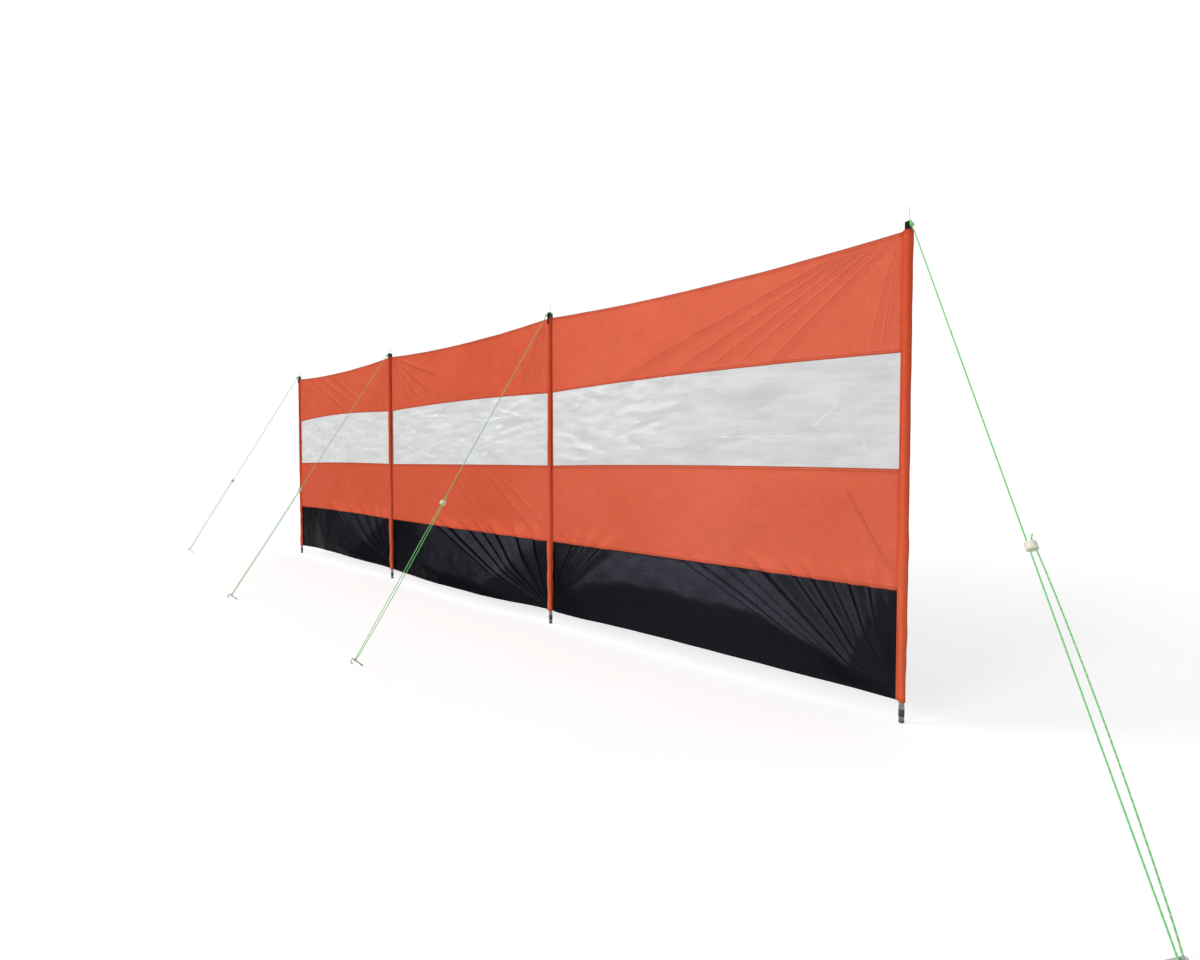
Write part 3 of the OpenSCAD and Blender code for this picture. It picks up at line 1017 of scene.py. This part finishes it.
# Creases along which a white line of painted highlight stands for light glinting on them, as start and
# end in each bay, and their width
CREASES_WITH_PAINTED_GLINT = {
    1: [((0.09, 1.03), (0.46, 0.92), 0.018), ((0.33, 1.08), (0.59, 1.00), 0.010),
        ((1.04, 1.02), (1.28, 0.945), 0.015), ((1.12, 1.08), (1.54, 1.035), 0.009),
        ((0.64, 0.89), (0.85, 0.85), 0.010), ((0.62, 1.00), (0.95, 0.955), 0.008),
        ((1.20, 0.87), (1.50, 0.85), 0.008), ((0.10, 0.86), (0.40, 0.83), 0.010)],
    2: [((0.33, 1.06), (0.75, 1.04), 0.011), ((0.18, 1.00), (0.36, 0.96), 0.009),
        ((0.10, 0.92), (0.36, 0.84), 0.008), ((0.34, 0.845), (0.60, 0.80), 0.008),
        ((0.67, 0.895), (0.885, 0.865), 0.012), ((0.42, 0.995), (0.70, 0.975), 0.009),
        ((0.85, 1.02), (1.20, 0.99), 0.008), ((1.05, 0.90), (1.45, 0.86), 0.008)],
    3: [((0.17, 0.95), (0.22, 1.05), 0.002), ((1.35, 0.89), (1.445, 0.972), 0.0022),
        ((0.95, 0.872), (1.34, 0.866), 0.0035), ((1.525, 0.857), (1.532, 0.80), 0.0022),
        ((0.17, 0.88), (0.22, 0.852), 0.002), ((0.23, 1.04), (0.26, 0.99), 0.002)],
}


def film_lie(bay, x, z, gap_to_seam):
    """The film's own creases: mostly level ones from rolling, and a few sharp ones."""
    along = x - pole_x[bay - 1]
    lie = Hang(along, z)
    rng = np.random.default_rng(100 + bay)
    low, high = float(z.min()), float(z.max())
    for _ in range(CRINKLES):
        centre = rng.uniform(0.05, bay_length - 0.05), rng.uniform(low + 0.03, high - 0.03)
        half = rng.uniform(0.04, 0.22)
        turn = rng.normal(0, 0.16)
        if rng.random() < 0.22:
            turn, half = rng.uniform(-1.2, 1.2), half * 0.45
        reach = half * math.cos(turn), half * math.sin(turn)
        start = centre[0] - reach[0], centre[1] - reach[1]
        end = centre[0] + reach[0], centre[1] + reach[1]
        depth = CRINKLE_DEPTH * rng.uniform(0.5, 1.5) * rng.choice([-1, 1])
        lie.crease(start, end, depth, rng.uniform(0.007, 0.012), bend=rng.normal(0, 0.006), root=0.8)
    for start, end, width in CREASES_WITH_PAINTED_GLINT[bay]:
        lie.crease(start, end, CRINKLE_DEPTH, width * 1.6, root=0.8)
        # The white line along each of these creases is painted highlight.
        reach_x, reach_z = end[0] - start[0], end[1] - start[1]
        share = ((along - start[0]) * reach_x + (z - start[1]) * reach_z) / (reach_x**2 + reach_z**2)
        gap = ((along - start[0]) * reach_z - (z - start[1]) * reach_x) / math.hypot(reach_x, reach_z)
        near = (np.abs(gap) < 4 * width) & (share > -0.1) & (share < 1.1)
        lie.gap = np.where(near, gap * FILM_LINE / width, lie.gap)
        faded = soft_step(0, 0.15, share) * (1 - soft_step(0.8, 1, share))
        lie.mark = np.where(near, PAINTED_GLINT_STRENGTH * faded, lie.mark)
    held = soft_step(0.013, 0.04, gap_to_seam)
    held = held * soft_step(0.02, 0.08, np.minimum(along, bay_length - along))
    level_wave = waves(along * 0.35, z, 0.045, 110 + bay) * 0.0009
    return (lie.depth + level_wave) * held, lie.gap, lie.mark * held


def build_film():
    """Clear film, milky in patches, with painted highlight: white where it would glint and along some
    creases.
    """
    material, tree, shader = new_material("window_film", {"Specular IOR Level": 0.5})
    position = object_place(tree)
    level = stretched(tree, position, (0.22, 1, 1))
    haze = ranged(tree, noise(tree, level, 0.05, 4, 0.6), 0.35, 0.7)
    folds = use_group(tree, fold_line, {
        "Fold gap": sheet_value(tree, "fold_gap"), "Fold mark": sheet_value(tree, "fold_mark"),
        "Width": FILM_LINE,
    })
    fine = noise(tree, stretched(tree, position, (0.14, 1, 1)), 0.026, 3, 0.55)
    # Painted highlight: streaks of white where the film would glint.
    painted_glint = ranged(tree, fine, 0.55, 0.80)
    # Painted highlight along the glinting creases as well.
    crease_painted_glint = times(tree, folds["Line"], 0.7)
    painted_highlight = sum_of(tree, "MAXIMUM", times(tree, painted_glint, 0.6), crease_painted_glint)
    cool = ranged(tree, noise(tree, stretched(tree, position, (0.5, 1, 1)), 0.45, 2), 0.35, 0.65)
    milky = blend(tree, cool, (0.47, 0.50, 0.465), (0.49, 0.495, 0.53))
    colour = blend(tree, haze, (0.36, 0.375, 0.36), milky)
    plug(tree, blend(tree, painted_highlight, colour, (0.95, 0.95, 0.95)), shader, "Base Color")
    clear = sum_of(tree, "MULTIPLY_ADD", painted_highlight, 0.22, ranged(tree, haze, 0, 1, 0.36, 0.27))
    plug(tree, clear, shader, "Alpha")
    plug(tree, ranged(tree, haze, 0, 1, 0.18, 0.32), shader, "Roughness")
    relief = times(tree, fine, 0.0012)
    relief = sum_of(tree, "MULTIPLY_ADD", folds["Height"], 0.0008, relief)
    bump(tree, shader, relief, 1.0, 1.0)
    return material


window_film = build_film()

for bay in range(1, BAYS + 1):
    window = make_sheet(
        f"window_film_{bay}", f"window_{bay}", bay, window_film, hems=(False, False),
        step=FILM_STEP, own_lie=film_lie)


# ---- Top bands ---------------------------------------------------------------
# Orange polyester above the window. The top edge is a folded hem that hangs in
# a shallow curve from pole to pole, and its corners are where the pull is.

for bay in range(1, BAYS + 1):
    band = make_sheet(f"top_band_cloth_{bay}", f"top_band_{bay}", bay, band_orange)


# ---- Straps ------------------------------------------------------------------
# Black polyester webbing, sewn to the front and back of each sleeve and passed
# over the pole's head, so that the pole pushes the cloth up tight.

STRAP_COLUMNS = 12
RIB_SPACING = 0.0015
PICK_SPACING = 0.0009
strap_low, strap_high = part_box("strap_2")
strap_width = strap_high.x - strap_low.x
strap_t = strap_high.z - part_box("cap_2")[1].z
strap_half_y = strap_high.y - strap_t / 2


def webbing(name, dark, light):
    """Woven webbing with a ribbed face."""
    material, tree, shader = new_material(name, {"Specular IOR Level": 0.08})
    across, along = run_of(tree)
    ribs, picks = (
        sum_of(tree, "ABSOLUTE", sum_of(tree, "SINE", times(tree, run, math.pi / spacing)))
        for run, spacing in ((across, RIB_SPACING), (along, PICK_SPACING))
    )
    height = times(tree, ribs, picks)
    fuzz = noise(tree, object_place(tree), 0.004, 4, 0.7)
    # The colour follows the ribs' height as well as the fuzz: painted shade in the hollows between
    # ribs.
    mottle = times(tree, sum_of(tree, "ADD", height, fuzz), 0.5)
    plug(tree, blend(tree, mottle, dark, light), shader, "Base Color")
    plug(tree, ranged(tree, fuzz, 0.3, 0.7, 0.65, 0.85), shader, "Roughness")
    bump(tree, shader, height, 0.7, 0.0004)
    return material


strap_black = webbing("strap_black", (0.006, 0.009, 0.007), (0.022, 0.032, 0.026))


def strap_path():
    """Middle line of the strap from its front foot over the head to its back foot,
    as points of (y, z)."""
    corner = strap_half_y - pole_r
    top = strap_high.z - strap_t / 2
    foot = strap_low.z
    upright = [(-strap_half_y, z) for z in np.linspace(foot, top - corner, 14)]
    shoulder = [
        (-pole_r - corner * math.cos(a), top - corner + corner * math.sin(a))
        for a in np.linspace(0, math.pi / 2, 6)[1:]
    ]
    level = [(y, top) for y in np.linspace(-pole_r, 0, 9)[1:]]
    front = upright + shoulder + level
    return np.array(front + [(-y, z) for y, z in front[-2::-1]])


for i in range(POLES):
    path = strap_path()
    way = np.gradient(path, axis=0)
    way /= np.linalg.norm(way, axis=1, keepdims=True)
    normal = np.stack([-way[:, 1], way[:, 0]], axis=-1)
    along = distance_along(path)[:, None]
    across = np.linspace(-1, 1, STRAP_COLUMNS + 1)
    ribbed = 0.92 + 0.08 * np.cos(across * 3 * math.pi)
    shape = np.sqrt(np.clip(1 - np.abs(across) ** 6, 0.12, 1)) * ribbed
    rows, columns = len(path), len(across)
    sides = []
    for side in (1, -1):
        lift = side * shape * strap_t / 2
        sides.append(np.stack([
            np.broadcast_to(pole_x[i] + across * strap_width / 2, (rows, columns)),
            path[:, 0:1] + normal[:, 0:1] * lift, path[:, 1:2] + normal[:, 1:2] * lift,
        ], axis=-1).reshape(-1, 3))
    faces = both_sides(rows, columns)
    strap = make_mesh(f"head_strap_{i + 1}", np.concatenate(sides), faces, strap_black)
    run = np.stack(np.broadcast_arrays(across * strap_width / 2, along), axis=-1).reshape(-1, 2)
    run_map(strap, run[faces % (rows * columns)])
    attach(strap, "root")
    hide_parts(f"strap_{i + 1}")


# ---- Guys --------------------------------------------------------------------
# Braided polyester cord, bright green with a silver reflective thread. An eye
# at its head is tied off round itself and dropped over the pin. The cord runs
# down to the peg, round it, and back up through the slider to a stopper knot.

CORD_R = 0.0015
CORD_SIDES = 12
GUY_REACH = 0.935
PEG_LEAN = math.radians(45)
LOOP_UP_PEG = 0.039
LOOP_R = 0.00445
EYE_R = 0.00495
EYE_Z = strap_high.z + 0.00195
# Where the two strands of the eye turn down towards the peg
HEAD_BEND = (0.0115, 0.0, EYE_Z)
SLIDER_HEIGHT = 0.610
SLIDER_PITCH = 0.012
SLIDER_LENGTH = 0.016
KNOT_R = 0.0034
KNOT_SIZE = 0.00068
# Gap between the stopper knot and the slider
KNOT_GAP = 0.0003
TAIL = 0.016
END_TURN = math.radians(45)
LASHING_TURNS = 4
LASHING_WIDE = 0.0042
LASHING_DEEP = 0.0028
# Distances below the head where the eye is tied, and where the lashing ends
TIED_AT = 0.012
LASHED_TO = 0.026
# Length over which the cord runs straight again below the lashing
EASED = 0.02
STRAND_CLIMB = 0.0065
TRACER_CLIMB = 0.013
# The strand that comes back up from the peg isn't as tight as the other
BACK_STRAND_SLACK = 0.011
# Level direction across the guy
SIDEWAYS = np.array([0, 1, 0])


def braided(name, dark, light, tracer):
    """Round braid: strands that cross both ways round the cord, with a bright
    tracer thread that comes to the surface at every turn."""
    material, tree, shader = new_material(name, {"Sheen Weight": 0.1})
    around, along = run_of(tree)
    turn = times(tree, around, 4.0)
    climb = sum_of(tree, "DIVIDE", along, STRAND_CLIMB)
    one_way, other_way = (
        sum_of(tree, "SINE", times(tree, sum_of(tree, way, climb, turn), 2 * math.pi))
        for way in ("ADD", "SUBTRACT")
    )
    height = sum_of(tree, "ABSOLUTE", times(tree, one_way, other_way))
    lead = sum_of(tree, "ADD", sum_of(tree, "DIVIDE", along, TRACER_CLIMB), around)
    thread = sum_of(tree, "LESS_THAN", sum_of(tree, "FRACT", lead), 0.20)
    shown = times(tree, thread, sum_of(tree, "GREATER_THAN", one_way, -0.2))
    # Painted shade: the braid is darker in the hollows between its strands, where its height is low.
    colour = blend(tree, height, dark, light)
    plug(tree, blend(tree, shown, colour, tracer), shader, "Base Color")
    plug(tree, ranged(tree, shown, 0, 1, 0.62, 0.35), shader, "Roughness")
    bump(tree, shader, height, 0.8, 0.0004)
    return material


guy_green = braided("guy_green", (0.10, 0.68, 0.12), (0.26, 0.90, 0.28), (0.78, 0.90, 0.72))


def cord_along(path, first, closed=False):
    """Round cord that follows a path: its points, its faces, the faces of its two
    ends and its run. The first of its points has the number given."""
    path = np.array(path)
    if closed:
        way = np.roll(path, -1, axis=0) - np.roll(path, 1, axis=0)
    else:
        way = np.gradient(path, axis=0)
    way /= np.linalg.norm(way, axis=1, keepdims=True)
    side = np.cross(way[0], (0.3, 0.5, 0.81))
    sides = []
    for direction in way:
        side = side - direction * side.dot(direction)
        side = side / np.linalg.norm(side)
        sides.append(side)
    sides = np.array(sides)
    other = np.cross(way, sides)
    angle = np.arange(CORD_SIDES) * 2 * math.pi / CORD_SIDES
    ring = sides[:, None] * np.cos(angle)[:, None] + other[:, None] * np.sin(angle)[:, None]
    points = (path[:, None] + ring * CORD_R).reshape(-1, 3)
    rows = len(path)
    faces = grid_faces(rows, CORD_SIDES, closed_rows=closed, closed_columns=True)
    turn = round_column(faces, CORD_SIDES) / CORD_SIDES
    run = np.stack([turn, distance_along(path)[faces // CORD_SIDES]], axis=-1)
    ends = []
    if not closed:
        numbers = list(range(first, first + rows * CORD_SIDES))
        ends = [numbers[:CORD_SIDES][::-1], numbers[-CORD_SIDES:]]
    return points, (faces + first).tolist(), ends, run.reshape(-1, 2)


def line_points(a, b, step=0.03):
    """Points from a to b, without b."""
    count = max(1, round(math.dist(a, b) / step))
    return [tuple(np.array(a) + (np.array(b) - np.array(a)) * k / count) for k in range(count)]


def unit(vector):
    return vector / np.linalg.norm(vector)


def eye_path(head, tied, lashed):
    """Middle line of the eye, up one side of the lashing, round the pin and down the
    other side."""
    round_pin = [
        (EYE_R * math.cos(a), EYE_R * math.sin(a), EYE_Z)
        for a in np.linspace(math.radians(50), math.radians(310), 18)
    ]
    return [
        tuple(lashed + SIDEWAYS * CORD_R), tuple(tied + SIDEWAYS * CORD_R * 1.1),
        tuple(head + (-0.001, 0.0024, 0)), (0.007, 0.0040, EYE_Z),
        *round_pin,
        (0.007, -0.0040, EYE_Z), tuple(head + (-0.001, -0.0024, 0)),
        tuple(tied - SIDEWAYS * CORD_R * 1.1), tuple(lashed - SIDEWAYS * CORD_R),
    ]


def lashing_path(tied, way):
    """Turns of cord that bind the eye shut, from where it is tied down the cord."""
    upright = unit(np.cross(way, SIDEWAYS))
    pitch = 2 * CORD_R / (2 * math.pi)
    return [
        tuple(
            tied - way * a * pitch + SIDEWAYS * LASHING_WIDE * math.cos(a)
            + upright * LASHING_DEEP * math.sin(a))
        for a in np.linspace(0, LASHING_TURNS * 2 * math.pi, LASHING_TURNS * 14)
    ]


def knot_path(knot, way):
    """Closed middle line of the stopper knot, tied across the cord's way."""
    across = unit(np.cross(way, SIDEWAYS))
    return [
        tuple(knot + KNOT_SIZE * (
            way * -2.2 * math.sin(3 * a)
            + SIDEWAYS * (math.sin(a) + 2 * math.sin(2 * a))
            + across * (math.cos(a) - 2 * math.cos(2 * a))))
        for a in np.linspace(0, 2 * math.pi, 40, endpoint=False)
    ]


def guy_paths():
    """Paths of one guy's cords, with +X outwards from the pole, and whether each is
    closed: the cord itself, its lashing and its stopper knot."""
    loop_centre = np.array([
        GUY_REACH + LOOP_UP_PEG * math.sin(PEG_LEAN), 0, LOOP_UP_PEG * math.cos(PEG_LEAN),
    ])
    main_foot = loop_centre - (0, LOOP_R, 0)
    back_foot = loop_centre + (0, LOOP_R, 0)
    head = np.array(HEAD_BEND)
    main_way = unit(head - main_foot)
    main_hole = main_foot + main_way * (SLIDER_HEIGHT - main_foot[2]) / main_way[2]
    back_hole = main_hole + (0, SLIDER_PITCH, 0)
    back_way = unit(back_hole - back_foot)
    knot = back_hole + back_way * (SLIDER_LENGTH / 2 + KNOT_R + KNOT_GAP)
    tied = head - main_way * TIED_AT
    lashed = head - main_way * LASHED_TO
    around_peg = [
        tuple(loop_centre + (LOOP_R * math.sin(a) * math.cos(PEG_LEAN), -LOOP_R * math.cos(a),
                             -LOOP_R * math.sin(a) * math.sin(PEG_LEAN)))
        for a in np.linspace(0, math.pi, 14)
    ]
    taut = line_points(lashed - main_way * EASED, main_foot)
    slack = line_points(around_peg[-1], knot)
    slack = [
        (x, y + BACK_STRAND_SLACK * math.sin(math.pi * k / len(slack)) ** 0.7, z)
        for k, (x, y, z) in enumerate(slack)
    ]
    tail_end = knot + back_way * (KNOT_R + TAIL) + (0.004, 0.003, -0.002)
    tail = [tuple(knot), tuple(knot + back_way * KNOT_R * 2), tuple(tail_end)]
    main = eye_path(head, tied, lashed) + taut + around_peg + slack[1:] + tail
    return [
        (main, False), (lashing_path(tied, main_way), False), (knot_path(knot, back_way), True),
    ]


for i in range(POLES):
    turn = -math.pi / 2 + {0: -END_TURN, POLES - 1: END_TURN}.get(i, 0)
    points, faces, runs = [], [], []
    for path, closed in guy_paths():
        part, sides, ends, run = cord_along(path, sum(len(p) for p in points), closed)
        points.append(part)
        faces += sides + ends
        runs.append(run)
        runs.append(np.zeros((sum(len(end) for end in ends), 2)))
    local = np.concatenate(points)
    placed = np.stack([
        pole_x[i] + local[:, 0] * math.cos(turn) - local[:, 1] * math.sin(turn),
        local[:, 0] * math.sin(turn) + local[:, 1] * math.cos(turn), local[:, 2],
    ], axis=-1)
    guy = make_mesh(f"guy_cord_{i + 1}", placed, faces, guy_green, smooth=60)
    run_map(guy, np.concatenate(runs))
    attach(guy, "root")
    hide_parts(f"guy_{i + 1}")


# ---- Sliders -----------------------------------------------------------------
# Pale moulded runners with a hole for each strand. The cord's bend through
# the second hole grips it, and sliding it up the strand tightens the guy.

slider_cream = plastic(
    "slider_cream", (0.82, 0.78, 0.65), (0.90, 0.87, 0.76), roughness=0.45, grain=0.0008,
    soil=0.15)
finish_cad("slider", POLES, slider_cream)


# ---- Pegs --------------------------------------------------------------------
# Bent zinc-plated wire, pushed into the ground to lean away from the pole,
# with the hook turned outwards so that the cord can't ride up off it.

peg_zinc = steel(
    "peg_zinc", (0.36, 0.37, 0.36), (0.58, 0.59, 0.57), roughness=0.32, spangle_size=0.003,
    soil_height=0.014)
finish_cad("peg", POLES, peg_zinc)


# ---- Studio ------------------------------------------------------------------
# A pale floor and white surroundings, a broad soft lamp from the front left,
# and the light of the room itself from everywhere else.

CAMERA_PLACE = (5.715, -1.995, 0.79)
CAMERA_TURN = (math.radians(88.21), 0, math.radians(46.08))
CAMERA_LENS = 19.53
FLOOR_SIZE = 120
ROOM_LIGHT = 0.38
FLOOR_GLOW = 0.56
# Each lamp: strength, spread in degrees, and where it shines from
LAMPS = {
    "key_lamp": (1.09, 24, (-0.72, -0.60, 0.31)),
    "front_lamp": (0.82, 24, (-0.14, -0.93, 0.30)),
    "side_lamp": (0.30, 40, (0.86, -0.45, 0.22)),
}


def white_to_camera(tree):
    """1 for rays that see the background, directly, in gloss or through film."""
    path = place(tree, "ShaderNodeLightPath").outputs
    seen = sum_of(tree, "MAXIMUM", path["Is Camera Ray"], path["Is Glossy Ray"])
    return sum_of(tree, "MAXIMUM", seen, path["Is Transmission Ray"])


def build_floor():
    """Pale matt floor that is white to the camera."""
    material, tree, shader = new_material("studio_floor", {
        "Roughness": 0.9, "Specular IOR Level": 0.1, "Emission Color": (1, 1, 1, 1),
    })
    shade = ranged(tree, noise(tree, object_place(tree), 0.4, 3), 0.3, 0.7)
    plug(tree, blend(tree, shade, (0.78, 0.78, 0.78), (0.80, 0.80, 0.80)), shader, "Base Color")
    plug(tree, times(tree, white_to_camera(tree), FLOOR_GLOW), shader, "Emission Strength")
    return material


half = FLOOR_SIZE / 2
floor_corners = [(-half, -half, 0), (half, -half, 0), (half, half, 0), (-half, half, 0)]
floor = make_mesh("studio_floor", floor_corners, [(0, 1, 2, 3)], build_floor())

world = bpy.data.worlds.new("room")
world.use_nodes = True
bpy.context.scene.world = world
room = world.node_tree
background = room.nodes["Background"]
light_colour = blend(room, white_to_camera(room), (0.97, 0.985, 1.0), (1, 1, 1))
room.links.new(light_colour, background.inputs["Color"])
brightness = ranged(room, white_to_camera(room), 0, 1, ROOM_LIGHT, 1.0)
room.links.new(brightness, background.inputs["Strength"])

for name, (strength, spread, shines_from) in LAMPS.items():
    light = bpy.data.lights.new(name, "SUN")
    light.energy = strength
    light.angle = math.radians(spread)
    lamp = bpy.data.objects.new(name, light)
    lamp.rotation_mode = "QUATERNION"
    lamp.rotation_quaternion = Vector(shines_from).to_track_quat("Z", "Y")
    bpy.context.scene.collection.objects.link(lamp)

camera = bpy.data.cameras.new("camera")
camera.sensor_width = 36
camera.lens = CAMERA_LENS
camera.clip_start = 0.05
camera.clip_end = 500
viewer = bpy.data.objects.new("camera", camera)
viewer.location = CAMERA_PLACE
viewer.rotation_euler = CAMERA_TURN
bpy.context.scene.collection.objects.link(viewer)
bpy.context.scene.camera = viewer
bpy.context.scene.view_settings.view_transform = "Standard"
